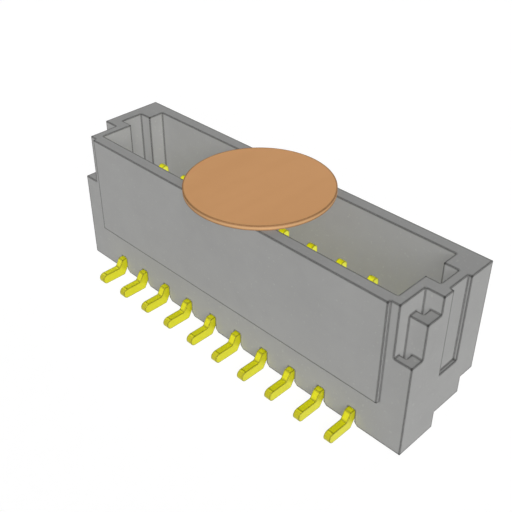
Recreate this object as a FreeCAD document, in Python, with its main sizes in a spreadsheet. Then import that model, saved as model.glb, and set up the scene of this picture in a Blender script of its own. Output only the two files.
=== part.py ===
"""Pin header: a shrouded single-row socket housing with stamped surface-mount contacts and a pick-up tape.

Millimetres, +Z up. X runs along the row of contacts, -Y faces the side where the solder feet come out, and
the origin is the centre of the housing's underside. The solder feet reach a little below that plane.
"""

import FreeCAD, Part
import math
import os
import re

import Sketcher

SIZES = {
    # row of contacts
    "contact_count": 10,
    "pitch": 1.0,
    "end_margin": 1.5,
    # housing block and its raised front panel
    "housing_depth": 2.8,
    "housing_height": 4.25,
    "panel_proud": 0.1,
    "panel_foot": 1.25,
    "panel_inset": 0.75,
    # cavity that takes the mating plug, with a key slot in each end wall
    "front_wall": 0.25,
    "back_wall": 0.35,
    "end_wall": 0.75,
    "floor_thickness": 1.2,
    "key_slot_depth": 0.4,
    "key_slot_width": 0.7,
    "key_slot_offset": 0.25,
    # stepped notches in the two front corners
    "notch_length": 0.5,
    "upper_notch_depth": 0.9,
    "upper_notch_height": 0.5,
    "lower_notch_depth": 0.4,
    "lower_notch_height": 1.0,
    "ledge_pocket_length": 0.2,
    "upper_pocket_width": 0.25,
    "lower_pocket_width": 0.2,
    "ledge_pocket_depth": 0.4,
    # shallow slot down one end face
    "end_slot_depth": 0.1,
    "end_slot_width": 0.7,
    "end_slot_foot": 1.75,
    # stepped recess under the back of each end
    "recess_length": 0.6,
    "rear_step_width": 0.5,
    "rear_step_height": 1.0,
    "middle_step_width": 1.0,
    "middle_step_height": 0.5,
    # slots that take the contacts
    "contact_clearance": 0.01,
    "slot_lead_in": 0.1,
    # stamped contact
    "blank_thickness": 0.2,
    "post_width": 0.25,
    "post_offset": 0.4,
    "post_height": 1.825,
    "arm_height": 0.3,
    "arm_rise": 0.19,
    "foot_drop": 0.05,
    "foot_reach": 0.9,
    "bend_reach": 0.11,
    "bend_run": 0.14,
    "bend_shift": 0.17,
    "bend_radius": 0.05,
    "toe_radius": 0.145,
    "shoulder_width": 0.5,
    "shoulder_height": 0.45,
    "barb_count": 2,
    "barb_depth": 0.03,
    "barb_height": 0.15,
    # pick-up tape
    "tape_diameter": 4.0,
    "tape_thickness": 0.13,
}

# places along X
ROW_HALF = "((contact_count - 1) * pitch / 2)"
END_FACE = f"({ROW_HALF} + end_margin)"
PANEL_END = f"({END_FACE} - panel_inset)"
CAVITY_END = f"({END_FACE} - end_wall)"
KEY_SLOT_END = f"({CAVITY_END} + key_slot_depth)"
NOTCH_START = f"({END_FACE} - notch_length)"
LEDGE_POCKET_END = f"({NOTCH_START} + ledge_pocket_length)"
END_SLOT_START = f"({END_FACE} - end_slot_depth)"
RECESS_START = f"({END_FACE} - recess_length)"
SLOT_HALF = "(blank_thickness / 2 + contact_clearance)"
SLOT_LEFT = f"(-{ROW_HALF} - {SLOT_HALF})"
SLOT_RIGHT = f"(-{ROW_HALF} + {SLOT_HALF})"

# places along Y
BACK_FACE = "((housing_depth + panel_proud) / 2)"
FRONT_FACE = f"({BACK_FACE} - housing_depth)"
CAVITY_FRONT = f"({FRONT_FACE} + front_wall)"
CAVITY_BACK = f"({BACK_FACE} - back_wall)"
KEY_SLOT_FRONT = "(key_slot_offset - key_slot_width / 2)"
KEY_SLOT_BACK = "(key_slot_offset + key_slot_width / 2)"
END_SLOT_FRONT = "(key_slot_offset - end_slot_width / 2)"
END_SLOT_BACK = "(key_slot_offset + end_slot_width / 2)"
UPPER_NOTCH_BACK = f"({FRONT_FACE} + upper_notch_depth)"
LOWER_NOTCH_BACK = f"({FRONT_FACE} + lower_notch_depth)"
REAR_STEP_FRONT = f"({BACK_FACE} - rear_step_width)"
MIDDLE_STEP_FRONT = f"({REAR_STEP_FRONT} - middle_step_width)"
POST_FRONT = "(post_offset - post_width / 2)"
POST_BACK = "(post_offset + post_width / 2)"
SHOULDER_FRONT = "(post_offset - shoulder_width / 2)"
SHOULDER_BACK = "(post_offset + shoulder_width / 2)"
TOE = f"({FRONT_FACE} - foot_reach)"
HEEL = f"({FRONT_FACE} - bend_reach)"
ARM_START = f"({HEEL} + bend_run)"

# heights
UPPER_LEDGE = "(housing_height - upper_notch_height)"
LOWER_LEDGE = f"({UPPER_LEDGE} - lower_notch_height)"
FOOT_LOW = "(-foot_drop)"
FOOT_TOP = f"({FOOT_LOW} + arm_height)"
ARM_TOP = "(arm_rise + arm_height)"
SHOULDER_TOP = f"({ARM_TOP} + shoulder_height)"
POST_TIP = "(floor_thickness + post_height)"
TIP_CENTRE = f"({POST_TIP} - post_width / 2)"

doc = FreeCAD.newDocument("PinHeader")


def add_sheet():
    """Spreadsheet with one named cell for each size."""
    sheet = doc.addObject("Spreadsheet::Sheet", "Sizes")
    for row, (name, size) in enumerate(SIZES.items(), start=1):
        sheet.set(f"A{row}", name)
        sheet.set(f"B{row}", str(size))
        sheet.setAlias(f"B{row}", name)
    doc.recompute()
    return sheet


def over_cells(formula):
    """The same formula with each size name written as a cell of the sheet."""
    return re.sub(r"[a-z_]+", lambda word: f"Sizes.{word[0]}" if word[0] in SIZES else word[0], formula)


def value(formula):
    """What a formula over the size names comes to, in millimetres."""
    result = doc.getObject("Sizes").evalExpression(formula)
    return float(getattr(result, "Value", result))


def bind(target, path, formula):
    """Ties a property of an object to a formula over the sheet's cells."""
    target.setExpression(path, over_cells(formula))


def origin_feature(body, role):
    """The origin plane or axis of a body that has the given role."""
    return next(item for item in body.Origin.OriginFeatures if item.Role == role)


def add_sketch(body, name, plane, offset=None):
    """Empty sketch on one of a body's own origin planes, moved along the plane's normal by a formula."""
    sketch = body.newObject("Sketcher::SketchObject", name)
    sketch.AttachmentSupport = [(origin_feature(body, plane), "")]
    sketch.MapMode = "FlatFace"
    if offset:
        bind(sketch, ".AttachmentOffset.Base.z", offset)
    return sketch


def place_point(sketch, edge, end, across, up):
    """Holds one end of a sketch line at two formulas, measured from the sketch's origin."""
    for kind, formula in (("DistanceX", across), ("DistanceY", up)):
        index = sketch.addConstraint(Sketcher.Constraint(kind, edge, end, value(formula)))
        bind(sketch, f"Constraints[{index}]", formula)


def draw_outline(sketch, corners):
    """Closed chain of lines through corners given as formulas."""
    points = [FreeCAD.Vector(value(across), value(up), 0) for across, up in corners]
    count = len(corners)
    for index in range(count):
        sketch.addGeometry(Part.LineSegment(points[index], points[(index + 1) % count]))
    for index, (across, up) in enumerate(corners):
        sketch.addConstraint(Sketcher.Constraint("Coincident", index - 1 if index else count - 1, 2, index, 1))
        place_point(sketch, index, 1, across, up)


def rectangle(left, right, low, high):
    """Corners of a rectangle whose four sides are formulas."""
    return [(left, low), (right, low), (right, high), (left, high)]


def add_feature(body, kind, name, sketch, length, reverse=False):
    """Pad or pocket of a sketch, with its length tied to a formula."""
    feature = body.newObject(f"PartDesign::{kind}", name)
    feature.Profile = sketch
    feature.Reversed = reverse
    bind(feature, "Length", length)
    return feature


def cut_down(body, name, corners, top, depth):
    """Pocket cut downwards from a height."""
    sketch = add_sketch(body, f"{name}_outline", "XY_Plane", top)
    draw_outline(sketch, corners)
    return add_feature(body, "Pocket", name, sketch, depth)


def cut_up(body, name, corners, height):
    """Pocket cut upwards from the underside."""
    sketch = add_sketch(body, f"{name}_outline", "XY_Plane")
    draw_outline(sketch, corners)
    return add_feature(body, "Pocket", name, sketch, height, reverse=True)


def edges_across(shape, places):
    """Names of the edges that run along X through the given (Y, Z) formulas."""
    wanted = [(value(along), value(up)) for along, up in places]
    names = []
    for index, edge in enumerate(shape.Edges, start=1):
        first, last = edge.Vertexes[0].Point, edge.Vertexes[-1].Point
        runs_across = abs(first.y - last.y) < 1e-6 and abs(first.z - last.z) < 1e-6
        if runs_across and any(math.hypot(first.y - y, first.z - z) < 1e-6 for y, z in wanted):
            names.append(f"Edge{index}")
    return names


def add_corner_notches(body):
    """Stepped notch of the right front corner, with a small pocket in each ledge."""
    upper = cut_down(
        body,
        "upper_notch",
        rectangle(NOTCH_START, END_FACE, FRONT_FACE, UPPER_NOTCH_BACK),
        "housing_height",
        "upper_notch_height",
    )
    lower = cut_down(
        body,
        "lower_notch",
        rectangle(NOTCH_START, END_FACE, FRONT_FACE, LOWER_NOTCH_BACK),
        UPPER_LEDGE,
        "lower_notch_height",
    )
    upper_pocket = cut_down(
        body,
        "upper_ledge_pocket",
        rectangle(NOTCH_START, LEDGE_POCKET_END, f"({UPPER_NOTCH_BACK} - upper_pocket_width)", UPPER_NOTCH_BACK),
        UPPER_LEDGE,
        "ledge_pocket_depth",
    )
    lower_pocket = cut_down(
        body,
        "lower_ledge_pocket",
        rectangle(NOTCH_START, LEDGE_POCKET_END, f"({LOWER_NOTCH_BACK} - lower_pocket_width)", LOWER_NOTCH_BACK),
        LOWER_LEDGE,
        "ledge_pocket_depth",
    )
    return [upper, lower, upper_pocket, lower_pocket]


def add_underside_recess(body):
    """Two-step recess under the back of the right end."""
    rear = cut_up(
        body,
        "rear_step",
        rectangle(RECESS_START, END_FACE, REAR_STEP_FRONT, BACK_FACE),
        "rear_step_height",
    )
    middle = cut_up(
        body,
        "middle_step",
        rectangle(RECESS_START, END_FACE, MIDDLE_STEP_FRONT, REAR_STEP_FRONT),
        "middle_step_height",
    )
    return [rear, middle]


def add_contact_slot(body):
    """Slot of the first contact: a channel for the arm, a wider well for the shoulder and a hole for the post."""
    channel_outline = add_sketch(body, "arm_channel_outline", "XZ_Plane", f"-{FRONT_FACE}")
    draw_outline(
        channel_outline,
        [
            (f"({SLOT_LEFT} - slot_lead_in)", "0"),
            (f"({SLOT_RIGHT} + slot_lead_in)", "0"),
            (SLOT_RIGHT, "slot_lead_in"),
            (SLOT_RIGHT, f"({ARM_TOP} + contact_clearance)"),
            (SLOT_LEFT, f"({ARM_TOP} + contact_clearance)"),
            (SLOT_LEFT, "slot_lead_in"),
        ],
    )
    channel_length = f"({SHOULDER_BACK} + contact_clearance - {FRONT_FACE})"
    channel = add_feature(body, "Pocket", "arm_channel", channel_outline, channel_length)
    well = cut_up(
        body,
        "shoulder_well",
        rectangle(
            SLOT_LEFT,
            SLOT_RIGHT,
            f"({SHOULDER_FRONT} - contact_clearance)",
            f"({SHOULDER_BACK} + contact_clearance)",
        ),
        f"({SHOULDER_TOP} + contact_clearance)",
    )
    hole = cut_up(
        body,
        "post_hole",
        rectangle(
            SLOT_LEFT,
            SLOT_RIGHT,
            f"({POST_FRONT} - contact_clearance)",
            f"({POST_BACK} + contact_clearance)",
        ),
        "floor_thickness",
    )
    return [channel, well, hole]


def build_housing():
    """Moulded housing: block, front panel, cavity, corner notches, end slot, recesses and contact slots."""
    body = doc.addObject("PartDesign::Body", "housing")
    body.Label = "housing"

    block_outline = add_sketch(body, "block_outline", "XY_Plane")
    draw_outline(block_outline, rectangle(f"-{END_FACE}", END_FACE, FRONT_FACE, BACK_FACE))
    add_feature(body, "Pad", "block", block_outline, "housing_height")

    panel_outline = add_sketch(body, "panel_outline", "XZ_Plane", f"-{FRONT_FACE}")
    draw_outline(panel_outline, rectangle(f"-{PANEL_END}", PANEL_END, "panel_foot", "housing_height"))
    add_feature(body, "Pad", "front_panel", panel_outline, "panel_proud")

    cut_down(
        body,
        "cavity",
        [
            (f"-{CAVITY_END}", CAVITY_FRONT),
            (CAVITY_END, CAVITY_FRONT),
            (CAVITY_END, KEY_SLOT_FRONT),
            (KEY_SLOT_END, KEY_SLOT_FRONT),
            (KEY_SLOT_END, KEY_SLOT_BACK),
            (CAVITY_END, KEY_SLOT_BACK),
            (CAVITY_END, CAVITY_BACK),
            (f"-{CAVITY_END}", CAVITY_BACK),
            (f"-{CAVITY_END}", KEY_SLOT_BACK),
            (f"-{KEY_SLOT_END}", KEY_SLOT_BACK),
            (f"-{KEY_SLOT_END}", KEY_SLOT_FRONT),
            (f"-{CAVITY_END}", KEY_SLOT_FRONT),
        ],
        "housing_height",
        "(housing_height - floor_thickness)",
    )
    cut_down(
        body,
        "end_slot",
        rectangle(END_SLOT_START, END_FACE, END_SLOT_FRONT, END_SLOT_BACK),
        "housing_height",
        "(housing_height - end_slot_foot)",
    )

    right_end = add_corner_notches(body) + add_underside_recess(body)
    left_end = body.newObject("PartDesign::Mirrored", "left_end")
    left_end.Originals = right_end
    left_end.MirrorPlane = (origin_feature(body, "YZ_Plane"), [""])
    body.Tip = left_end

    first_slot = add_contact_slot(body)
    slots = body.newObject("PartDesign::LinearPattern", "contact_slots")
    slots.Originals = first_slot
    slots.Direction = (origin_feature(body, "X_Axis"), [""])
    bind(slots, "Length", f"2 * {ROW_HALF}")
    bind(slots, "Occurrences", "contact_count")
    body.Tip = slots
    return body


def barb_side(edge_of_post, outward):
    """Corners of one barbed side of the shoulder, from its top down to the arm, as (Y, Z) formulas."""
    crest = f"({edge_of_post} {outward} (shoulder_width - post_width) / 2)"
    root = f"({crest} {'-' if outward == '+' else '+'} barb_depth)"
    corners = []
    for barb in range(int(value("barb_count"))):
        top = f"({SHOULDER_TOP} - {barb} * barb_height)"
        corners += [(root, top), (crest, f"({top} - barb_height)")]
    corners.append((root, f"({SHOULDER_TOP} - barb_count * barb_height)"))
    return corners


def build_contact(index):
    """One stamped contact: rounded post, barbed shoulder, arm and solder foot, flat in the YZ plane."""
    body = doc.addObject("PartDesign::Body", f"contact_{index + 1:02d}")
    body.Label = f"contact_{index + 1:02d}"

    blank_outline = add_sketch(body, f"blank_outline_{index + 1}", "YZ_Plane")
    back_side = barb_side(POST_BACK, "+")
    front_side = barb_side(POST_FRONT, "-")
    lowest_root = back_side[-1][0]
    draw_outline(
        blank_outline,
        [
            (TOE, FOOT_LOW),
            (HEEL, FOOT_LOW),
            (ARM_START, "arm_rise"),
            (lowest_root, "arm_rise"),
            *reversed(back_side),
            (POST_BACK, SHOULDER_TOP),
            (POST_BACK, TIP_CENTRE),
            (POST_FRONT, TIP_CENTRE),
            (POST_FRONT, SHOULDER_TOP),
            *front_side,
            (front_side[-1][0], ARM_TOP),
            (f"({ARM_START} - bend_shift)", ARM_TOP),
            (f"({HEEL} - bend_shift)", FOOT_TOP),
            (TOE, FOOT_TOP),
        ],
    )
    blank = add_feature(body, "Pad", f"blank_{index + 1}", blank_outline, "blank_thickness")
    blank.Midplane = True

    tip_outline = add_sketch(body, f"tip_outline_{index + 1}", "YZ_Plane")
    centre = FreeCAD.Vector(value("post_offset"), value(TIP_CENTRE), 0)
    circle = tip_outline.addGeometry(Part.Circle(centre, FreeCAD.Vector(0, 0, 1), value("post_width / 2")))
    place_point(tip_outline, circle, 3, "post_offset", TIP_CENTRE)
    radius = tip_outline.addConstraint(Sketcher.Constraint("Radius", circle, value("post_width / 2")))
    bind(tip_outline, f"Constraints[{radius}]", "post_width / 2")
    tip = add_feature(body, "Pad", f"tip_{index + 1}", tip_outline, "blank_thickness")
    tip.Midplane = True
    doc.recompute()

    bends = body.newObject("PartDesign::Fillet", f"bends_{index + 1}")
    bends.Base = (
        tip,
        edges_across(
            tip.Shape,
            [
                (HEEL, FOOT_LOW),
                (ARM_START, "arm_rise"),
                (f"({ARM_START} - bend_shift)", ARM_TOP),
                (f"({HEEL} - bend_shift)", FOOT_TOP),
                (lowest_root, "arm_rise"),
            ],
        ),
    )
    bind(bends, "Radius", "bend_radius")
    doc.recompute()

    toe = body.newObject("PartDesign::Fillet", f"toe_{index + 1}")
    toe.Base = (bends, edges_across(bends.Shape, [(TOE, FOOT_LOW), (TOE, FOOT_TOP)]))
    bind(toe, "Radius", "toe_radius")
    body.Tip = toe
    bind(body, ".Placement.Base.x", f"{index} * pitch - {ROW_HALF}")
    return body


def build_tape():
    """Round of film on the rim, which a placing machine's nozzle picks the header up by."""
    body = doc.addObject("PartDesign::Body", "pickup_tape")
    body.Label = "pickup_tape"
    outline = add_sketch(body, "tape_outline", "XY_Plane")
    circle = outline.addGeometry(
        Part.Circle(FreeCAD.Vector(0, 0, 0), FreeCAD.Vector(0, 0, 1), value("tape_diameter / 2"))
    )
    outline.addConstraint(Sketcher.Constraint("Coincident", circle, 3, -1, 1))
    radius = outline.addConstraint(Sketcher.Constraint("Radius", circle, value("tape_diameter / 2")))
    bind(outline, f"Constraints[{radius}]", "tape_diameter / 2")
    add_feature(body, "Pad", "tape", outline, "tape_thickness")
    bind(body, ".Placement.Base.z", "housing_height")
    return body


def check_document(bodies):
    """Stops with an error if any object failed or any sub-part isn't one valid solid."""
    for item in doc.Objects:
        if "Invalid" in item.State or "Error" in item.State:
            raise RuntimeError(f"{item.Name} failed to recompute: {item.State}")
    for body in bodies:
        shape = body.Shape
        if shape.isNull() or not shape.isValid() or len(shape.Solids) != 1:
            raise RuntimeError(f"{body.Label} isn't one valid solid")


def main():
    """Builds the document, checks it and writes one STEP file for each sub-part."""
    add_sheet()
    bodies = [build_housing()]
    bodies += [build_contact(index) for index in range(int(value("contact_count")))]
    bodies.append(build_tape())
    doc.recompute()
    check_document(bodies)
    os.makedirs("parts", exist_ok=True)
    for body in bodies:
        body.Shape.exportStep(f"parts/{body.Label}.step")
        print(f"{body.Label}: {body.Shape.Volume:.4f} cubic mm")


main()
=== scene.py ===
"""Dresses a surface-mount pin header: moulded housing, plated stamped contacts and pick-up tape.

Metres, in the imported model's frame: +X along the row of contacts, -Y towards the solder feet, +Z up.
"""

from __future__ import annotations

import logging
import math
from dataclasses import dataclass, field
from enum import Enum

import bmesh
import bpy
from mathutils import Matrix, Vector


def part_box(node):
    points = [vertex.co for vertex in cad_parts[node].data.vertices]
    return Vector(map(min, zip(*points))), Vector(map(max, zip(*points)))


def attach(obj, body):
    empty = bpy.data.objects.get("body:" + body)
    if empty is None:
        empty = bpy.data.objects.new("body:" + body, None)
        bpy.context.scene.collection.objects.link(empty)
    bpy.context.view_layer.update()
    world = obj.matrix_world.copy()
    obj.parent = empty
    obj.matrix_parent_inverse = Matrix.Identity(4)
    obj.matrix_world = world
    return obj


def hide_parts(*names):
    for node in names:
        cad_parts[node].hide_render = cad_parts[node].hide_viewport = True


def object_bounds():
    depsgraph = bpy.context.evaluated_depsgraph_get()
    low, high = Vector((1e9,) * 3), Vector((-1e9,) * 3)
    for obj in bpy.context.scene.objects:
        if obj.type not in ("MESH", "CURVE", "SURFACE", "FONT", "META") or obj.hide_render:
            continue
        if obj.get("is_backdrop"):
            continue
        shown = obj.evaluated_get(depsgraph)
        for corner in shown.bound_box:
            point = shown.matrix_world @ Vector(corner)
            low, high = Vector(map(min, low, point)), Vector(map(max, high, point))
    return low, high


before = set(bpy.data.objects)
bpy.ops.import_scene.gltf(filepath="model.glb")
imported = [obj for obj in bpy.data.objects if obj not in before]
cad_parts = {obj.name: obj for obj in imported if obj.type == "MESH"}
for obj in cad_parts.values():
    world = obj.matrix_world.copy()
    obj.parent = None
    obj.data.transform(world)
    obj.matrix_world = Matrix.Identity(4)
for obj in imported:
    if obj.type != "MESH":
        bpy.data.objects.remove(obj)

Colour = tuple[float, float, float, float]
Triple = tuple[float, float, float]
Point = tuple[float, float]
Span = tuple[float, float]
Form = bmesh.types.BMesh
Material = bpy.types.Material
Socket = bpy.types.NodeSocket
Sockets = bpy.types.NodeOutputs
Tree = bpy.types.NodeTree
Value = float | Socket

MM = 0.001
ROOT = "root"
WHITE: Colour = (1.0, 1.0, 1.0, 1.0)
RISING: Span = (0.0, 1.0)
FALLING: Span = (1.0, 0.0)

# Power of a face's area in the normals that it shares, so that large faces stay flat.
AREA_POWER = 3
# A bevel's profile that is round.
ROUND_PROFILE = 0.5
# Turn of each facet of an arc in degrees, and the fewest facets that an arc has.
ARC_STEP = 12.0
ARC_FACETS = 2
# Turn in radians and distance in metres that count as none.
NO_TURN = 1e-6
NO_DISTANCE = 1e-9

log = logging.getLogger("pin_header")


def screen_colour(red: int, green: int, blue: int) -> Colour:
    """Turns a colour as it looks on screen into the linear colour that a shader takes.

    Args:
        red: Red from 0 to 255.
        green: Green from 0 to 255.
        blue: Blue from 0 to 255.

    Returns:
        The linear colour with full alpha.
    """

    def linear(channel: float) -> float:
        """Takes one channel, from 0 to 1, through the usual screen curve."""
        return channel / 12.92 if channel <= 0.04045 else ((channel + 0.055) / 1.055) ** 2.4

    return (linear(red / 255), linear(green / 255), linear(blue / 255), 1.0)


class Slot(Enum):
    """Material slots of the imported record."""

    HOUSING = "housing_plastic"
    CONTACT = "contact_metal"
    TAPE = "tape_film"


class Sum(Enum):
    """Sums that a Math node can do."""

    ADD = "ADD"
    SUBTRACT = "SUBTRACT"
    MULTIPLY = "MULTIPLY"
    ABSOLUTE = "ABSOLUTE"


class Mixed(Enum):
    """What a Mix node can mix."""

    COLOURS = "RGBA"
    VALUES = "FLOAT"


class Graph:
    """A node tree with short calls that add nodes and join them."""

    def __init__(self, tree: Tree) -> None:
        """Wraps a tree and empties it.

        Args:
            tree: The node tree of a material, world or group.
        """
        self.tree = tree
        self.tree.nodes.clear()

    def add(self, kind: str, **settings: object) -> bpy.types.Node:
        """Adds a node.

        Args:
            kind: The node's type without its ShaderNode prefix.
            settings: Attributes to set on the node.

        Returns:
            The new node.
        """
        prefix = "" if kind.startswith("NodeGroup") else "ShaderNode"
        node = self.tree.nodes.new(prefix + kind)
        for name, setting in settings.items():
            setattr(node, name, setting)
        return node

    def feed(self, socket: Socket, value: object) -> None:
        """Joins a socket to another one, or sets it to a plain value.

        Args:
            socket: The input to feed.
            value: A value, or the socket that it comes from.
        """
        if isinstance(value, Socket):
            self.tree.links.new(value, socket)
        else:
            socket.default_value = value

    def sum(self, operation: Sum, first: Value, second: Value = 0.0, clamp: bool = False) -> Socket:
        """Adds a Math node.

        Args:
            operation: What it does.
            first: First value or socket.
            second: Second value or socket.
            clamp: Whether the result is held between 0 and 1.

        Returns:
            The result's socket.
        """
        node = self.add("Math", operation=operation.value, use_clamp=clamp)
        self.feed(node.inputs[0], first)
        self.feed(node.inputs[1], second)
        return node.outputs[0]

    def times(self, value: Value, factor: Value) -> Socket:
        """Multiplies a value by a factor and returns the result's socket."""
        return self.sum(Sum.MULTIPLY, value, factor)

    def span(self, value: Value, source: Span, target: Span = RISING) -> Socket:
        """Maps a value from one span to another and holds it inside.

        Args:
            value: The value or socket to map.
            source: Start and end of the span that it comes from.
            target: Start and end of the span that it goes to.

        Returns:
            The mapped value's socket.
        """
        node = self.add("MapRange")
        self.feed(node.inputs["Value"], value)
        for name, number in zip(("From Min", "From Max", "To Min", "To Max"), source + target):
            node.inputs[name].default_value = number
        return node.outputs["Result"]

    def blend(self, factor: Value, first: object, second: object, what: Mixed = Mixed.COLOURS) -> Socket:
        """Mixes two colours or values.

        Args:
            factor: Share of the second one.
            first: First colour, value or socket.
            second: Second colour, value or socket.
            what: Whether they are colours or values.

        Returns:
            The result's socket.
        """
        node = self.add("Mix", data_type=what.value)
        self.feed(node.inputs["Factor"], factor)
        self.feed(node.inputs["A"], first)
        self.feed(node.inputs["B"], second)
        return node.outputs["Result"]

    def parts(self, vector: Socket) -> Sockets:
        """Splits a vector.

        Args:
            vector: The vector's socket.

        Returns:
            The sockets X, Y and Z.
        """
        node = self.add("SeparateXYZ")
        self.feed(node.inputs["Vector"], vector)
        return node.outputs

    def noise(self, vector: Socket, density: Value | Triple, detail: float = 2.0) -> Socket:
        """Adds a Noise Texture.

        Args:
            vector: The coordinates' socket.
            density: Cells per metre, as one value or socket, or as a value for each axis.
            detail: Octaves of the noise.

        Returns:
            The noise value's socket.
        """
        if isinstance(density, tuple):
            stretch = self.add("VectorMath", operation="MULTIPLY")
            self.feed(stretch.inputs[0], vector)
            self.feed(stretch.inputs[1], density)
            vector, density = stretch.outputs["Vector"], 1.0
        node = self.add("TexNoise")
        self.feed(node.inputs["Vector"], vector)
        self.feed(node.inputs["Scale"], density)
        node.inputs["Detail"].default_value = detail
        return node.outputs["Fac"]

    def relief(self, height: Socket, strength: float, distance: float) -> Socket:
        """Adds a Bump node.

        Args:
            height: The height's socket.
            strength: How strongly the relief shows, from 0 to 1.
            distance: How high it stands.

        Returns:
            The normal's socket.
        """
        node = self.add("Bump")
        node.inputs["Strength"].default_value = strength
        node.inputs["Distance"].default_value = distance
        self.feed(node.inputs["Height"], height)
        return node.outputs["Normal"]

    def seen(self) -> Socket:
        """Adds a mask that is 1 to the camera, and in reflections and behind glass.

        Returns:
            The mask's socket.
        """
        path = self.add("LightPath")
        direct = self.sum(Sum.ADD, path.outputs["Is Camera Ray"], path.outputs["Is Glossy Ray"])
        return self.sum(Sum.ADD, direct, path.outputs["Is Transmission Ray"], clamp=True)

    def place(self, group: Tree, **values: object) -> Sockets:
        """Places a node group.

        Args:
            group: The group's tree.
            values: Values or sockets by input name, in lower case with underscores.

        Returns:
            The group's output sockets.
        """
        node = self.add("Group", node_tree=group)
        for name, value in values.items():
            self.feed(node.inputs[name.replace("_", " ").capitalize()], value)
        return node.outputs


@dataclass
class EffectShelf:
    """Shader effects that more than one finish uses, each built once as a node group.

    Attributes:
        edge_samples: Rays that each edge mask takes.
        edge_span: Openness at which an edge mask is full, and at which it is gone.
        pit_density: Pits for each grain.
        pit_smoothness: How softly the pits run together.
        pit_share: Share of the pits in the grain's height.
        fleck_density: Cells of the flecks' noise for each grain.
        fleck_span: Noise values between which a fleck fades in.
        patch_density: Small patches for each wide drift.
        patch_share: Share of the small patches in the drift.
        drift_span: Noise values that the drift runs between.
        edge_shade: Group that masks outer edges and inner corners, where the finishes paint shade.
        fine_grain: Group that gives a fine grain and its flecks.
        tone_drift: Group that gives a slow drift of tone.
    """

    edge_samples: int = 8
    edge_span: Span = (0.6, 0.98)
    pit_density: float = 0.7
    pit_smoothness: float = 0.6
    pit_share: float = 0.4
    fleck_density: float = 0.45
    fleck_span: Span = (0.66, 0.76)
    patch_density: float = 6.0
    patch_share: float = 0.3
    drift_span: Span = (0.3, 0.7)
    edge_shade: Tree = field(init=False)
    fine_grain: Tree = field(init=False)
    tone_drift: Tree = field(init=False)

    def __post_init__(self) -> None:
        """Builds every group."""
        self.edge_shade = self._edge_shade()
        self.fine_grain = self._fine_grain()
        self.tone_drift = self._tone_drift()

    @staticmethod
    def _group(
        name: str,
        inputs: dict[str, float | None],
        outputs: list[str],
    ) -> tuple[Graph, Sockets, bpy.types.NodeInputs]:
        """Starts a node group.

        Args:
            name: The group's name.
            inputs: Default value of each input, or None for a vector.
            outputs: Names of the value outputs.

        Returns:
            The graph, the sockets that come in and the sockets that go out.
        """
        tree = bpy.data.node_groups.new(name, "ShaderNodeTree")
        for label, default in inputs.items():
            kind = "NodeSocketVector" if default is None else "NodeSocketFloat"
            socket = tree.interface.new_socket(name=label, in_out="INPUT", socket_type=kind)
            if default is not None:
                socket.default_value = default
        for label in outputs:
            tree.interface.new_socket(name=label, in_out="OUTPUT", socket_type="NodeSocketFloat")
        graph = Graph(tree)
        entry, leave = graph.add("NodeGroupInput"), graph.add("NodeGroupOutput")
        return graph, entry.outputs, leave.inputs

    def _edge_shade(self) -> Tree:
        """Builds the masks of the outer edges and of the inner corners, within a reach in metres, for
        painted shade.

        Returns:
            The group's tree.
        """
        graph, entry, leave = self._group("edge shade", {"Reach": 0.05 * MM}, ["Ridge", "Crease"])
        # Ridge marks outer edges for a painted dark shade line, Crease marks inner corners for painted
        # shade.
        for label, inside in (("Ridge", True), ("Crease", False)):
            hidden = graph.add("AmbientOcclusion", inside=inside, only_local=True, samples=self.edge_samples)
            graph.feed(hidden.inputs["Distance"], entry["Reach"])
            graph.feed(leave[label], graph.span(hidden.outputs["AO"], self.edge_span, FALLING))
        return graph.tree

    def _fine_grain(self) -> Tree:
        """Builds a fine grain, as a height and sparse flecks, at a number of grains per metre.

        Returns:
            The group's tree.
        """
        inputs = {"Vector": None, "Density": 20000.0}
        graph, entry, leave = self._group("fine grain", inputs, ["Height", "Fleck"])
        soft = graph.noise(entry["Vector"], entry["Density"], detail=3.0)
        pits = graph.add("TexVoronoi", feature="SMOOTH_F1")
        graph.feed(pits.inputs["Vector"], entry["Vector"])
        graph.feed(pits.inputs["Scale"], graph.times(entry["Density"], self.pit_density))
        pits.inputs["Smoothness"].default_value = self.pit_smoothness
        swell = graph.times(soft, 1.0 - self.pit_share)
        pitting = graph.times(pits.outputs["Distance"], self.pit_share)
        graph.feed(leave["Height"], graph.sum(Sum.ADD, swell, pitting))
        cells = graph.times(entry["Density"], self.fleck_density)
        sparse = graph.noise(entry["Vector"], cells, detail=1.0)
        graph.feed(leave["Fleck"], graph.span(sparse, self.fleck_span))
        return graph.tree

    def _tone_drift(self) -> Tree:
        """Builds a slow drift of tone over the surface, as a factor round 0.5.

        Returns:
            The group's tree.
        """
        graph, entry, leave = self._group("tone drift", {"Vector": None, "Density": 400.0}, ["Drift"])
        wide = graph.noise(entry["Vector"], entry["Density"], detail=3.0)
        close = graph.noise(entry["Vector"], graph.times(entry["Density"], self.patch_density))
        drifts = graph.times(wide, 1.0 - self.patch_share)
        patches = graph.times(close, self.patch_share)
        graph.feed(leave["Drift"], graph.span(graph.sum(Sum.ADD, drifts, patches), self.drift_span))
        return graph.tree


def start_material(name: str) -> tuple[Material, Graph, bpy.types.Node, Socket]:
    """Makes a material with a Principled shader and object coordinates.

    Args:
        name: The material's name.

    Returns:
        The material, its graph, the shader node and the coordinates' socket.
    """
    material = bpy.data.materials.new(name)
    material.use_nodes = True
    graph = Graph(material.node_tree)
    shader = graph.add("BsdfPrincipled")
    leave = graph.add("OutputMaterial")
    graph.feed(leave.inputs["Surface"], shader.outputs["BSDF"])
    coordinates = graph.add("TexCoord").outputs["Object"]
    return material, graph, shader, coordinates


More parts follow.
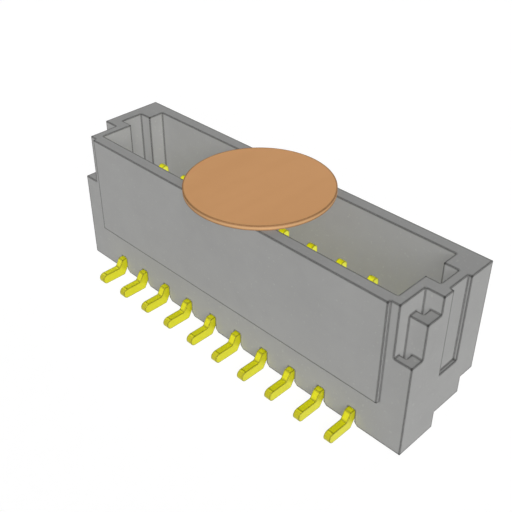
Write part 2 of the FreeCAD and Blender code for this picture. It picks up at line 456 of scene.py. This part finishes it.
@dataclass(frozen=True)
class MouldedResin:
    """Mid grey moulding resin with a spark-eroded grain, faint flow streaks, and painted shade on the outer
    edges and in the inner corners.

    Attributes:
        colour: Main colour.
        pale: Colour of the drifts and the flow streaks.
        edge: Colour of the painted shade on the outer edges and in the inner corners.
        fleck: Colour of the flecks.
        drifts_per_metre: Density of the drifts of tone.
        grains_per_metre: Density of the grain.
        flow_per_metre: Density of the flow streaks along each axis.
        flow_span: Noise values between which a flow streak fades in.
        flow_share: Share of the pale colour in a flow streak.
        fleck_share: Share of the flecks' colour in a fleck.
        edge_reach: How far the edge colour reaches.
        ridge_shade_share: Share of the edge colour, painted as a shade line, on outer edges.
        crease_shade_share: Share of the edge colour, painted as shade, in inner corners.
        roughness: Mean roughness.
        grain_roughness: How far the grain makes the roughness vary.
        ridge_polish: How much smoother the outer edges are.
        specular: Specular level.
        grain_height: Height of the grain.
        grain_strength: How strongly the grain shows.
    """

    colour: Colour = screen_colour(149, 149, 148)
    pale: Colour = screen_colour(156, 156, 155)
    # Dark colour of the painted shade on the edges and in the corners.
    edge: Colour = screen_colour(36, 36, 35)
    fleck: Colour = screen_colour(176, 176, 172)
    drifts_per_metre: float = 420.0
    grains_per_metre: float = 26000.0
    flow_per_metre: Triple = (220.0, 700.0, 1500.0)
    flow_span: Span = (0.45, 0.75)
    flow_share: float = 0.35
    fleck_share: float = 0.35
    edge_reach: float = 0.06 * MM
    ridge_shade_share: float = 0.95
    crease_shade_share: float = 0.85
    roughness: float = 0.7
    grain_roughness: float = 0.16
    ridge_polish: float = 0.14
    specular: float = 0.2
    grain_height: float = 0.004 * MM
    grain_strength: float = 0.6

    def make(self, effects: EffectShelf) -> Material:
        """Builds the material.

        Args:
            effects: The shared effects.

        Returns:
            The material.
        """
        material, graph, shader, where = start_material("housing_resin")
        drift = graph.place(effects.tone_drift, vector=where, density=self.drifts_per_metre)["Drift"]
        grain = graph.place(effects.fine_grain, vector=where, density=self.grains_per_metre)
        edges = graph.place(effects.edge_shade, reach=self.edge_reach)
        flow = graph.noise(where, self.flow_per_metre, detail=3.0)
        toned = graph.blend(drift, self.colour, self.pale)
        flowing = graph.span(flow, self.flow_span, (0.0, self.flow_share))
        streaked = graph.blend(flowing, toned, self.pale)
        flecked = graph.blend(graph.times(grain["Fleck"], self.fleck_share), streaked, self.fleck)
        # Painted shade: a dark line on the outer edges, and darkening in the inner corners.
        outer = graph.blend(graph.times(edges["Ridge"], self.ridge_shade_share), flecked, self.edge)
        inner = graph.blend(graph.times(edges["Crease"], self.crease_shade_share), outer, self.edge)
        graph.feed(shader.inputs["Base Color"], inner)
        uneven = graph.times(grain["Height"], self.grain_roughness)
        rough = graph.sum(Sum.ADD, uneven, self.roughness - self.grain_roughness / 2)
        polish = graph.times(edges["Ridge"], self.ridge_polish)
        graph.feed(shader.inputs["Roughness"], graph.sum(Sum.SUBTRACT, rough, polish))
        shader.inputs["Specular IOR Level"].default_value = self.specular
        relief = graph.relief(grain["Height"], self.grain_strength, self.grain_height)
        graph.feed(shader.inputs["Normal"], relief)
        return material


@dataclass(frozen=True)
class FlashPlating:
    """Bright yellow plating over stamped metal: brushed on the rolled faces, sheared on the cut ones.

    Attributes:
        colour: Colour of the rolled faces.
        mating_and_highlight: Their colour on the posts, where the plug slides: brighter plating there, and
            in part a painted highlight.
        cut: Colour of the sheared faces.
        shaded_slope: Colour of the sheared faces that look ahead, darker as painted shade.
        toe: Their colour at the toe, darker still as painted shade.
        deep: Colour of the painted shade on the outer edges, in the inner corners and along the lines at the
            bends.
        rolled_span: Share of the normal along X at which a face is sheared, and at which it is rolled.
        ahead_span: Share of the normal along Y at which a face looks ahead, and at which it doesn't.
        toe_span: Places along Y between which the toe's painted shade fades out.
        foot_span: Heights between which the foot's painted shade fades out.
        tip_span: Heights between which the mating zone fades in.
        bend_shade_lines: Places along Y of the thin lines of painted shade across the sheared faces, at the
            bends.
        bend_shade_reach: How far a painted shade line reaches to each side.
        bend_shade_share: Share of the deep colour in a painted shade line.
        drifts_per_metre: Density of the drifts of tone.
        drift_share: Share of the cut colour in a drift.
        edge_reach: How far the edge colour reaches.
        ridge_shade_share: Share of the deep colour, painted as a shade line, on outer edges.
        crease_shade_share: Share of the deep colour, painted as shade, in inner corners.
        metallic: How metallic the plating is.
        mating_dulling: How much less metallic the mating zone is.
        brushed_per_metre: Density of the brush lines along each axis.
        sheared_per_metre: Density of the shear lines along each axis.
        line_span: Noise values that the lines' roughness runs between.
        roughness: Least and most roughness over the lines.
        grains_per_metre: Density of the grain.
        grain_share: Share of the grain in the relief.
        relief_height: Height of the lines.
        relief_strength: How strongly they show.
    """

    colour: Colour = screen_colour(208, 205, 24)
    # Brighter on the posts: partly their plating, partly a painted highlight.
    mating_and_highlight: Colour = screen_colour(252, 252, 84)
    cut: Colour = screen_colour(240, 239, 8)
    # Darker copies of the cut colour: painted shade on the faces that look ahead and at the toe.
    shaded_slope: Colour = screen_colour(208, 204, 20)
    toe: Colour = screen_colour(178, 172, 18)
    # Dark colour of the painted shade on edges, in corners and along the bend lines.
    deep: Colour = screen_colour(92, 86, 8)
    rolled_span: Span = (0.6, 0.8)
    ahead_span: Span = (-0.5, -0.1)
    toe_span: Span = (-2.15 * MM, -2.1 * MM)
    foot_span: Span = (0.9 * MM, 1.1 * MM)
    tip_span: Span = (1.9 * MM, 2.1 * MM)
    bend_shade_lines: Triple = (-2.105 * MM, -1.63 * MM, -1.49 * MM)
    bend_shade_reach: float = 0.03 * MM
    bend_shade_share: float = 0.7
    drifts_per_metre: float = 1900.0
    drift_share: float = 0.22
    edge_reach: float = 0.038 * MM
    ridge_shade_share: float = 0.85
    crease_shade_share: float = 0.5
    metallic: float = 0.45
    mating_dulling: float = 0.25
    brushed_per_metre: Triple = (60000.0, 9000.0, 90000.0)
    sheared_per_metre: Triple = (6000.0, 120000.0, 120000.0)
    line_span: Span = (0.3, 0.7)
    roughness: Span = (0.33, 0.49)
    grains_per_metre: float = 60000.0
    grain_share: float = 0.3
    relief_height: float = 0.002 * MM
    relief_strength: float = 0.5

    def _sheared_faces(self, graph: Graph, facing: Sockets, spot: Sockets) -> Socket:
        """Colours the sheared faces, with painted shade on the faces that look ahead and at the toe, and
        thin lines of painted shade across them at the bends.

        Args:
            graph: The material's graph.
            facing: The normal's sockets X, Y and Z.
            spot: The coordinates' sockets X, Y and Z.

        Returns:
            The colour's socket.
        """
        # Painted shade: the sheared faces that look ahead near the foot, and the toe, take darker colours.
        at_toe = graph.span(spot["Y"], self.toe_span, FALLING)
        at_foot = graph.span(spot["Z"], self.foot_span, FALLING)
        ahead = graph.times(graph.span(facing["Y"], self.ahead_span, FALLING), at_foot)
        faces = graph.blend(ahead, self.cut, graph.blend(at_toe, self.shaded_slope, self.toe))
        # Thin lines of painted shade across the sheared faces at the bends.
        for mark in self.bend_shade_lines:
            apart = graph.sum(Sum.ABSOLUTE, graph.sum(Sum.SUBTRACT, spot["Y"], mark))
            marked = graph.span(apart, (0.0, self.bend_shade_reach), (self.bend_shade_share, 0.0))
            faces = graph.blend(marked, faces, self.deep)
        return faces

    def make(self, effects: EffectShelf) -> Material:
        """Builds the material.

        Args:
            effects: The shared effects.

        Returns:
            The material.
        """
        material, graph, shader, where = start_material("contact_plating")
        drift = graph.place(effects.tone_drift, vector=where, density=self.drifts_per_metre)["Drift"]
        grain = graph.place(effects.fine_grain, vector=where, density=self.grains_per_metre)
        edges = graph.place(effects.edge_shade, reach=self.edge_reach)
        facing = graph.parts(graph.add("TexCoord").outputs["Normal"])
        spot = graph.parts(where)
        rolled = graph.span(graph.sum(Sum.ABSOLUTE, facing["X"]), self.rolled_span)
        at_tip = graph.span(spot["Z"], self.tip_span)
        # The posts' zone is brighter: partly its own plating, partly a painted highlight.
        rolled_faces = graph.blend(at_tip, self.colour, self.mating_and_highlight)
        face = graph.blend(rolled, self._sheared_faces(graph, facing, spot), rolled_faces)
        toned = graph.blend(graph.span(drift, RISING, (0.0, self.drift_share)), face, self.cut)
        # Painted shade: a dark line on the outer edges, and darkening in the inner corners.
        edge_shaded = graph.blend(graph.times(edges["Ridge"], self.ridge_shade_share), toned, self.deep)
        crease_shaded = graph.blend(graph.times(edges["Crease"], self.crease_shade_share), edge_shaded, self.deep)
        graph.feed(shader.inputs["Base Color"], crease_shaded)
        dulling = graph.times(at_tip, self.mating_dulling)
        graph.feed(shader.inputs["Metallic"], graph.sum(Sum.SUBTRACT, self.metallic, dulling))
        brushed = graph.noise(where, self.brushed_per_metre)
        sheared = graph.noise(where, self.sheared_per_metre)
        lines = graph.blend(rolled, sheared, brushed, Mixed.VALUES)
        graph.feed(shader.inputs["Roughness"], graph.span(lines, self.line_span, self.roughness))
        height = graph.sum(Sum.ADD, lines, graph.times(grain["Height"], self.grain_share))
        relief = graph.relief(height, self.relief_strength, self.relief_height)
        graph.feed(shader.inputs["Normal"], relief)
        return material


@dataclass(frozen=True)
class AmberFilm:
    """Heat-proof amber film, semi-matt, with faint coating streaks, painted shade on its die-cut rim and a
    painted shade line on its edges.

    Attributes:
        colour: Main colour.
        deep: Colour of the drifts and the coating streaks.
        rim: Colour of the cut rim, darker as painted shade.
        edge_shade_line: Colour of the painted shade line on the outer edges.
        side_span: Share of the normal along Z at which a face is the rim, and at which it is the film.
        drifts_per_metre: Density of the drifts of tone.
        drift_share: Share of the deep colour in a drift.
        streaks_per_metre: Density of the coating streaks along each axis.
        streak_span: Noise values between which a streak's colour fades in.
        streak_share: Share of the deep colour in a streak.
        edge_reach: How far the edge colour reaches.
        ridge_shade_share: Share of the line colour, painted as a shade line, on outer edges.
        rough_span: Noise values that the streaks' roughness runs between.
        roughness: Least and most roughness over the streaks.
        specular: Specular level.
        grains_per_metre: Density of the grain.
        grain_share: Share of the grain in the relief.
        relief_height: Height of the streaks.
        relief_strength: How strongly they show.
    """

    colour: Colour = screen_colour(219, 164, 113)
    deep: Colour = screen_colour(210, 156, 105)
    # Darker colours painted as shade on the cut rim and along the outer edges.
    rim: Colour = screen_colour(190, 148, 106)
    edge_shade_line: Colour = screen_colour(92, 62, 36)
    side_span: Span = (0.3, 0.8)
    drifts_per_metre: float = 330.0
    drift_share: float = 0.5
    streaks_per_metre: Triple = (1400.0, 160.0, 1400.0)
    streak_span: Span = (0.45, 0.8)
    streak_share: float = 0.4
    edge_reach: float = 0.055 * MM
    ridge_shade_share: float = 0.8
    rough_span: Span = (0.3, 0.7)
    roughness: Span = (0.6, 0.74)
    specular: float = 0.08
    grains_per_metre: float = 15000.0
    grain_share: float = 0.5
    relief_height: float = 0.003 * MM
    relief_strength: float = 0.35

    def make(self, effects: EffectShelf) -> Material:
        """Builds the material.

        Args:
            effects: The shared effects.

        Returns:
            The material.
        """
        material, graph, shader, where = start_material("tape_amber")
        drift = graph.place(effects.tone_drift, vector=where, density=self.drifts_per_metre)["Drift"]
        grain = graph.place(effects.fine_grain, vector=where, density=self.grains_per_metre)
        edges = graph.place(effects.edge_shade, reach=self.edge_reach)
        facing = graph.parts(graph.add("TexCoord").outputs["Normal"])
        side = graph.span(graph.sum(Sum.ABSOLUTE, facing["Z"]), self.side_span, FALLING)
        streaks = graph.noise(where, self.streaks_per_metre, detail=3.0)
        toned = graph.blend(graph.times(drift, self.drift_share), self.colour, self.deep)
        coating = graph.span(streaks, self.streak_span, (0.0, self.streak_share))
        coated = graph.blend(coating, toned, self.deep)
        # Painted shade: the film's cut rim takes a darker colour.
        rim_shaded = graph.blend(side, coated, self.rim)
        # Painted shade line along the film's outer edges.
        edged = graph.blend(graph.times(edges["Ridge"], self.ridge_shade_share), rim_shaded, self.edge_shade_line)
        graph.feed(shader.inputs["Base Color"], edged)
        graph.feed(shader.inputs["Roughness"], graph.span(streaks, self.rough_span, self.roughness))
        shader.inputs["Specular IOR Level"].default_value = self.specular
        height = graph.sum(Sum.ADD, graph.times(grain["Height"], self.grain_share), streaks)
        relief = graph.relief(height, self.relief_strength, self.relief_height)
        graph.feed(shader.inputs["Normal"], relief)
        return material


@dataclass(frozen=True)
class StudioPaper:
    """White studio paper that stays white to the camera and keeps a soft shadow.

    Attributes:
        colour: Main colour under the lights.
        fibre: Colour of the fibres.
        fibres_per_metre: Density of the fibres.
        fibre_span: Noise values between which a fibre fades in.
        roughness: Roughness.
        specular: Specular level.
        lift: Glow that lifts the paper to white where it is seen.
    """

    colour: Colour = screen_colour(112, 112, 112)
    fibre: Colour = screen_colour(108, 108, 108)
    fibres_per_metre: float = 9000.0
    fibre_span: Span = (0.4, 0.7)
    roughness: float = 0.95
    specular: float = 0.0
    lift: float = 0.89

    def make(self) -> Material:
        """Builds the material.

        Returns:
            The material.
        """
        material, graph, shader, where = start_material("studio_paper")
        fibre = graph.noise(where, self.fibres_per_metre, detail=3.0)
        toned = graph.blend(graph.span(fibre, self.fibre_span), self.colour, self.fibre)
        graph.feed(shader.inputs["Base Color"], toned)
        shader.inputs["Roughness"].default_value = self.roughness
        shader.inputs["Specular IOR Level"].default_value = self.specular
        shader.inputs["Emission Color"].default_value = WHITE
        graph.feed(shader.inputs["Emission Strength"], graph.times(graph.seen(), self.lift))
        return material


def round_edges(form: Form, edges: list[bmesh.types.BMEdge], radius: float, segments: int) -> None:
    """Rounds edges of a form.

    Args:
        form: The geometry.
        edges: The edges to round.
        radius: Radius of the rounding.
        segments: Facets round it.
    """
    bmesh.ops.bevel(
        form,
        geom=edges,
        offset=radius,
        offset_type="OFFSET",
        segments=segments,
        profile=ROUND_PROFILE,
        affect="EDGES",
        clamp_overlap=True,
    )


def corner_normals(form: Form, smooth_below: float) -> list[Vector]:
    """Finds normals that keep the large faces flat, so that only the narrow rounded edges turn.

    Args:
        form: The geometry.
        smooth_below: Largest angle between faces that is shaded smooth, in degrees.

    Returns:
        One normal for each corner of each face.
    """
    least = math.cos(math.radians(smooth_below))
    areas = {face: face.calc_area() for face in form.faces}
    normals = []
    for face in form.faces:
        for loop in face.loops:
            joined = [other for other in loop.vert.link_faces if other.normal.dot(face.normal) >= least]
            largest = max(areas[other] for other in joined)
            total = Vector()
            for other in joined:
                total += other.normal * (areas[other] / largest) ** AREA_POWER
            normals.append(total.normalized())
    return normals


def add_piece(
    name: str,
    form: Form,
    smooth_below: float,
    finish: Material,
    node: str,
) -> bpy.types.Object:
    """Puts a form in the scene as a piece of the header, smooth except at sharp edges.

    Args:
        name: The piece's name.
        form: Its geometry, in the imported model's frame, which is freed.
        smooth_below: Largest angle between faces that is shaded smooth, in degrees.
        finish: Its finish.
        node: The CAD node that it stands for.

    Returns:
        The new object.
    """
    bmesh.ops.recalc_face_normals(form, faces=form.faces)
    form.normal_update()
    for face in form.faces:
        face.smooth = True
    normals = corner_normals(form, smooth_below)
    mesh = bpy.data.meshes.new(name)
    form.to_mesh(mesh)
    form.free()
    mesh.normals_split_custom_set(normals)
    mesh.materials.append(finish)
    piece = bpy.data.objects.new(name, mesh)
    bpy.context.scene.collection.objects.link(piece)
    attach(piece, ROOT)
    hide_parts(node)
    log.info("%s: %d faces", name, len(mesh.polygons))
    return piece


@dataclass
class Housing:
    """The moulding, with the small radius that every moulded edge has.

    Attributes:
        node: The CAD node that it stands for.
        weld_distance: Distance within which the solid's corners are one.
        flat_within: Angle within which neighbouring facets are one face, in degrees.
        sharp_over: Angle over which an edge is rounded, in degrees.
        edge_radius: Radius of the outer and inner edges.
        edge_segments: Facets round each radius.
        smooth_below: Largest angle between faces that is shaded smooth, in degrees.
    """

    node: str = "housing"
    weld_distance: float = 0.0005 * MM
    flat_within: float = 1.0
    sharp_over: float = 20.0
    edge_radius: float = 0.012 * MM
    edge_segments: int = 2
    smooth_below: float = 60.0

    def build(self, finish: Material) -> bpy.types.Object:
        """Builds the piece and dresses it.

        Args:
            finish: The piece's finish.

        Returns:
            The piece.
        """
        form = bmesh.new()
        form.from_mesh(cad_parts[self.node].data)
        bmesh.ops.remove_doubles(form, verts=form.verts, dist=self.weld_distance)
        bmesh.ops.dissolve_limit(
            form,
            angle_limit=math.radians(self.flat_within),
            verts=form.verts,
            edges=form.edges,
            use_dissolve_boundaries=False,
        )
        least = math.radians(self.sharp_over)
        sharp = [edge for edge in form.edges if edge.calc_face_angle(0.0) > least]
        round_edges(form, sharp, self.edge_radius, self.edge_segments)
        return add_piece("housing_moulding", form, self.smooth_below, finish, self.node)


@dataclass(frozen=True)
class Corner:
    """One corner of a stamped outline, in millimetres across (Y) and up (Z), with its radius."""

    across: float
    up: float
    radius: float = 0.0


def rounded_outline(corners: list[Corner]) -> list[Point]:
    """Rounds the corners of a closed outline.

    Args:
        corners: The corners in order.

    Returns:
        The outline's points.
    """
    points: list[Point] = []
    for index, corner in enumerate(corners):
        here = Vector((corner.across, corner.up))
        before, after = corners[index - 1], corners[(index + 1) % len(corners)]
        back = (Vector((before.across, before.up)) - here).normalized()
        ahead = (Vector((after.across, after.up)) - here).normalized()
        turn = math.pi - back.angle(ahead)
        if corner.radius <= 0.0 or turn < NO_TURN:
            points.append((here.x, here.y))
            continue
        trim = corner.radius * math.tan(turn / 2)
        centre = here + (back + ahead).normalized() * (corner.radius / math.cos(turn / 2))
        first = here + back * trim - centre
        sign = math.copysign(1.0, back.x * ahead.y - back.y * ahead.x)
        facets = max(ARC_FACETS, math.ceil(math.degrees(turn) / ARC_STEP))
        for facet in range(facets + 1):
            angle = -sign * turn * facet / facets
            cosine, sine = math.cos(angle), math.sin(angle)
            across = centre.x + first.x * cosine - first.y * sine
            up = centre.y + first.x * sine + first.y * cosine
            points.append((across, up))
    return points


@dataclass
class StampedContact:
    """One contact: rounded post, barbed shoulder, arm, double bend and solder foot, in millimetres.

    Attributes:
        number: Place in the row, from 1.
        post_width: Width of the post.
        tip_roundness: Radius of the post's tip over half its width.
        arm_height: Height of the arm and of the foot.
        arm_rise: Height of the arm's underside over the housing's.
        heel_inset: Distance from the toe to the heel.
        bend_run: Length of the sloping stretch along Y.
        bend_shift: How far the bend's upper corners stand ahead of the lower ones.
        post_offset: Middle of the post along Y.
        shoulder_width: Width over the barbs.
        shoulder_height: Height of the shoulder above the arm.
        barb_count: Barbs on each side.
        barb_depth: How far a barb stands out.
        barb_height: Distance from barb to barb.
        bend_radius: Radius of the bends.
        toe_radius: Radius of the toe.
        edge_radius: Radius that stamping leaves on the outline's edges.
        edge_segments: Facets round that radius.
        smooth_below: Largest angle between faces that is shaded smooth, in degrees.
        low: Lowest corner of the contact's box.
        high: Highest corner of the contact's box.
    """

    number: int
    post_width: float = 0.25
    tip_roundness: float = 0.98
    arm_height: float = 0.3
    arm_rise: float = 0.19
    heel_inset: float = 0.79
    bend_run: float = 0.14
    bend_shift: float = 0.17
    post_offset: float = 0.4
    shoulder_width: float = 0.5
    shoulder_height: float = 0.45
    barb_count: int = 2
    barb_depth: float = 0.03
    barb_height: float = 0.15
    bend_radius: float = 0.05
    toe_radius: float = 0.145
    edge_radius: float = 0.008
    edge_segments: int = 2
    smooth_below: float = 50.0
    low: Vector = field(init=False)
    high: Vector = field(init=False)

    def __post_init__(self) -> None:
        """Reads the contact's box from the frame."""
        low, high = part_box(self.node)
        self.low, self.high = low / MM, high / MM

    @property
    def node(self) -> str:
        """Name of the CAD node."""
        return f"contact_{self.number:02d}"

    def _barbs(self, side: int) -> list[Corner]:
        """Corners of one side of the shoulder, from its top down.

        Args:
            side: 1 for the back, -1 for the front.

        Returns:
            The corners.
        """
        crest = self.post_offset + side * self.shoulder_width / 2
        root = crest - side * self.barb_depth
        top = self.arm_rise + self.arm_height + self.shoulder_height
        corners = []
        for barb in range(self.barb_count):
            level = top - barb * self.barb_height
            corners += [Corner(root, level), Corner(crest, level - self.barb_height)]
        corners.append(Corner(root, top - self.barb_count * self.barb_height))
        return corners

    def outline(self) -> list[Point]:
        """Draws the blank's outline in the YZ plane, from the toe along the underside and back.

        Returns:
            The outline's points.
        """
        toe, sole, tip = self.low.y, self.low.z, self.high.z
        heel = toe + self.heel_inset
        instep = sole + self.arm_height
        arm_start = heel + self.bend_run
        arm_top = self.arm_rise + self.arm_height
        shoulder_top = arm_top + self.shoulder_height
        half = self.post_width / 2
        front, back = self.post_offset - half, self.post_offset + half
        behind, ahead = self._barbs(1), self._barbs(-1)
        round_end = half * self.tip_roundness
        corners = [
            Corner(toe, sole, self.toe_radius),
            Corner(heel, sole, self.bend_radius),
            Corner(arm_start, self.arm_rise, self.bend_radius),
            Corner(behind[-1].across, self.arm_rise, self.bend_radius),
            *reversed(behind),
            Corner(back, shoulder_top),
            Corner(back, tip, round_end),
            Corner(front, tip, round_end),
            Corner(front, shoulder_top),
            *ahead,
            Corner(ahead[-1].across, arm_top),
            Corner(arm_start - self.bend_shift, arm_top, self.bend_radius),
            Corner(heel - self.bend_shift, instep, self.bend_radius),
            Corner(toe, instep, self.toe_radius),
        ]
        return rounded_outline(corners)

    def build(self, finish: Material) -> bpy.types.Object:
        """Builds the piece and dresses it.

        Args:
            finish: The piece's finish.

        Returns:
            The piece.
        """
        form = bmesh.new()
        left = [form.verts.new((self.low.x * MM, across * MM, up * MM)) for across, up in self.outline()]
        blank = form.faces.new(left)
        extruded = bmesh.ops.extrude_face_region(form, geom=[blank])
        moved = [item for item in extruded["geom"] if isinstance(item, bmesh.types.BMVert)]
        bmesh.ops.translate(form, verts=moved, vec=((self.high.x - self.low.x) * MM, 0.0, 0.0))
        bmesh.ops.recalc_face_normals(form, faces=form.faces)
        rims = [edge for edge in form.edges if abs(edge.verts[0].co.x - edge.verts[1].co.x) < NO_DISTANCE]
        round_edges(form, rims, self.edge_radius * MM, self.edge_segments)
        name = f"contact_blank_{self.number:02d}"
        return add_piece(name, form, self.smooth_below, finish, self.node)


@dataclass
class PickupTape:
    """Round film on the rim, with softly rolled die-cut edges.

    Attributes:
        node: The CAD node that it stands for.
        edge_radius: Radius of the upper and lower edges.
        edge_facets: Facets round each radius.
        facets: Facets round the film.
        rings: Rings between the middle and the edge.
        smooth_below: Largest angle between faces that is shaded smooth, in degrees.
    """

    node: str = "pickup_tape"
    edge_radius: float = 0.008 * MM
    edge_facets: int = 3
    facets: int = 144
    rings: int = 6
    smooth_below: float = 60.0

    def _profile(self, radius: float, low: float, high: float) -> list[Point]:
        """Section from the underside's middle round the edge to the top's middle.

        Args:
            radius: Radius of the film.
            low: Height of its underside.
            high: Height of its top.

        Returns:
            The section's points, as distance from the middle and height.
        """
        edge = self.edge_radius
        points = [(radius * ring / self.rings, low) for ring in range(1, self.rings)]
        for start, middle in ((-90.0, low + edge), (0.0, high - edge)):
            for part in range(self.edge_facets + 1):
                angle = math.radians(start + 90.0 * part / self.edge_facets)
                points.append((radius - edge + edge * math.cos(angle), middle + edge * math.sin(angle)))
        points += [(radius * ring / self.rings, high) for ring in range(self.rings - 1, 0, -1)]
        return points

    def build(self, finish: Material) -> bpy.types.Object:
        """Builds the piece and dresses it.

        Args:
            finish: The piece's finish.

        Returns:
            The piece.
        """
        low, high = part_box(self.node)
        centre = (low + high) / 2
        form = bmesh.new()
        loops = []
        for reach, height in self._profile(high.x - centre.x, low.z, high.z):
            ring = []
            for facet in range(self.facets):
                angle = math.tau * facet / self.facets
                across, along = reach * math.cos(angle), reach * math.sin(angle)
                ring.append(form.verts.new((centre.x + across, centre.y + along, height)))
            loops.append(ring)
        for inner, outer in zip(loops, loops[1:]):
            for facet in range(self.facets):
                beside = (facet + 1) % self.facets
                form.faces.new((inner[facet], inner[beside], outer[beside], outer[facet]))
        for ring, height in ((loops[0], low.z), (loops[-1], high.z)):
            middle = form.verts.new((centre.x, centre.y, height))
            for facet in range(self.facets):
                form.faces.new((middle, ring[facet], ring[(facet + 1) % self.facets]))
        return add_piece("tape_film", form, self.smooth_below, finish, self.node)


def towards(azimuth: float, elevation: float) -> Vector:
    """Finds the unit vector from the header towards a bearing and height.

    Args:
        azimuth: Bearing in degrees, from -Y towards +X.
        elevation: Height above the horizon in degrees.

    Returns:
        The vector.
    """
    turn, rise = math.radians(azimuth), math.radians(elevation)
    return Vector((math.sin(turn) * math.cos(rise), -math.cos(turn) * math.cos(rise), math.sin(rise)))


@dataclass(frozen=True)
class Sun:
    """A soft distant light.

    Attributes:
        name: The light's name.
        azimuth: Bearing that it shines from, in degrees.
        elevation: Height that it shines from, in degrees.
        strength: Its strength.
        softness: Its width in the sky, in degrees.
        casts: Whether it casts shadows.
    """

    name: str
    azimuth: float
    elevation: float
    strength: float
    softness: float
    casts: bool = True

    def build(self) -> None:
        """Puts the light in the scene."""
        lamp = bpy.data.lights.new(self.name, "SUN")
        lamp.energy = self.strength
        lamp.angle = math.radians(self.softness)
        lamp.use_shadow = self.casts
        light = bpy.data.objects.new(self.name, lamp)
        light.rotation_mode = "QUATERNION"
        light.rotation_quaternion = towards(self.azimuth, self.elevation).to_track_quat("Z", "Y")
        bpy.context.scene.collection.objects.link(light)


@dataclass
class Studio:
    """Pale floor, soft lights and the camera.

    The fill light casts no shadows, so it also reaches the ledges and the walls of the cavity.

    Attributes:
        floor_half: Half the side of the floor.
        floor_gap: Gap between the floor and the soles of the feet.
        sky_span: Strength of the sky at the horizon, and overhead and below.
        suns: The distant lights.
        azimuth: Camera's bearing in degrees, from -Y towards +X.
        elevation: Camera's height above the horizon in degrees.
        distance: Camera's distance from the point that it looks at.
        aim: The point that it looks at.
        lens: Focal length in millimetres.
        sensor: Width of the sensor in millimetres.
        clip_span: Nearest and farthest distance that the camera sees.
    """

    floor_half: float = 0.6
    floor_gap: float = 0.001 * MM
    sky_span: Span = (0.32, 0.02)
    suns: tuple[Sun, ...] = (
        Sun("key_light", azimuth=52.0, elevation=28.0, strength=1.0, softness=30.0),
        Sun("fill_light", azimuth=47.0, elevation=23.0, strength=3.08, softness=30.0, casts=False),
        Sun("back_light", azimuth=182.0, elevation=5.0, strength=1.6, softness=20.0),
        Sun("side_light", azimuth=268.0, elevation=5.0, strength=1.25, softness=20.0),
    )
    azimuth: float = 44.993
    elevation: float = 35.265
    distance: float = 23.519 * MM
    aim: Vector = field(default_factory=lambda: Vector((-0.769, 0.632, 1.402)) * MM)
    lens: float = 57.377
    sensor: float = 36.0
    clip_span: Span = (1.0 * MM, 10.0)

    def build_floor(self, paper: Material, level: float) -> None:
        """Lays the floor under the solder feet.

        Args:
            paper: The floor's finish.
            level: Height of the floor.
        """
        half = self.floor_half
        mesh = bpy.data.meshes.new("studio_floor")
        corners = [(-half, -half, level), (half, -half, level), (half, half, level), (-half, half, level)]
        mesh.from_pydata(corners, [], [(0, 1, 2, 3)])
        mesh.materials.append(paper)
        floor = bpy.data.objects.new("studio_floor", mesh)
        bpy.context.scene.collection.objects.link(floor)
        floor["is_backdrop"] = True

    def build_world(self) -> None:
        """Makes a sky that lights mostly from the sides, and is white where it is seen."""
        world = bpy.data.worlds.new("studio_sky")
        bpy.context.scene.world = world
        world.use_nodes = True
        graph = Graph(world.node_tree)
        height = graph.parts(graph.add("TexCoord").outputs["Generated"])["Z"]
        level = graph.span(graph.sum(Sum.ABSOLUTE, height), RISING, self.sky_span)
        sky, white = graph.add("Background"), graph.add("Background")
        graph.feed(sky.inputs["Strength"], level)
        sky.inputs["Color"].default_value = WHITE
        white.inputs["Color"].default_value = WHITE
        chosen, leave = graph.add("MixShader"), graph.add("OutputWorld")
        graph.feed(chosen.inputs[0], graph.seen())
        graph.feed(chosen.inputs[1], sky.outputs[0])
        graph.feed(chosen.inputs[2], white.outputs[0])
        graph.feed(leave.inputs["Surface"], chosen.outputs[0])

    def build_camera(self) -> None:
        """Sets the camera at the photograph's angle."""
        lens = bpy.data.cameras.new("camera")
        lens.lens = self.lens
        lens.sensor_width = self.sensor
        lens.clip_start, lens.clip_end = self.clip_span
        camera = bpy.data.objects.new("camera", lens)
        back = towards(self.azimuth, self.elevation)
        camera.location = self.aim + back * self.distance
        camera.rotation_mode = "QUATERNION"
        camera.rotation_quaternion = (-back).to_track_quat("-Z", "Y")
        bpy.context.scene.collection.objects.link(camera)
        bpy.context.scene.camera = camera

    def build(self, level: float) -> None:
        """Builds the whole studio.

        Args:
            level: Height of the soles of the feet.
        """
        self.build_floor(StudioPaper().make(), level - self.floor_gap)
        self.build_world()
        for sun in self.suns:
            sun.build()
        self.build_camera()
        bpy.context.scene.view_settings.view_transform = "Standard"


def main() -> None:
    """Builds every sub-assembly in order and reports the pieces."""
    logging.basicConfig(level=logging.INFO, format="%(name)s %(message)s")
    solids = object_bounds()
    effects = EffectShelf()
    Housing().build(MouldedResin().make(effects))
    plating = FlashPlating().make(effects)
    count = sum(name.startswith("contact_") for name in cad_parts)
    for number in range(1, count + 1):
        StampedContact(number).build(plating)
    PickupTape().build(AmberFilm().make(effects))
    Studio().build(solids[0].z)


if __name__ == "__main__":
    main()
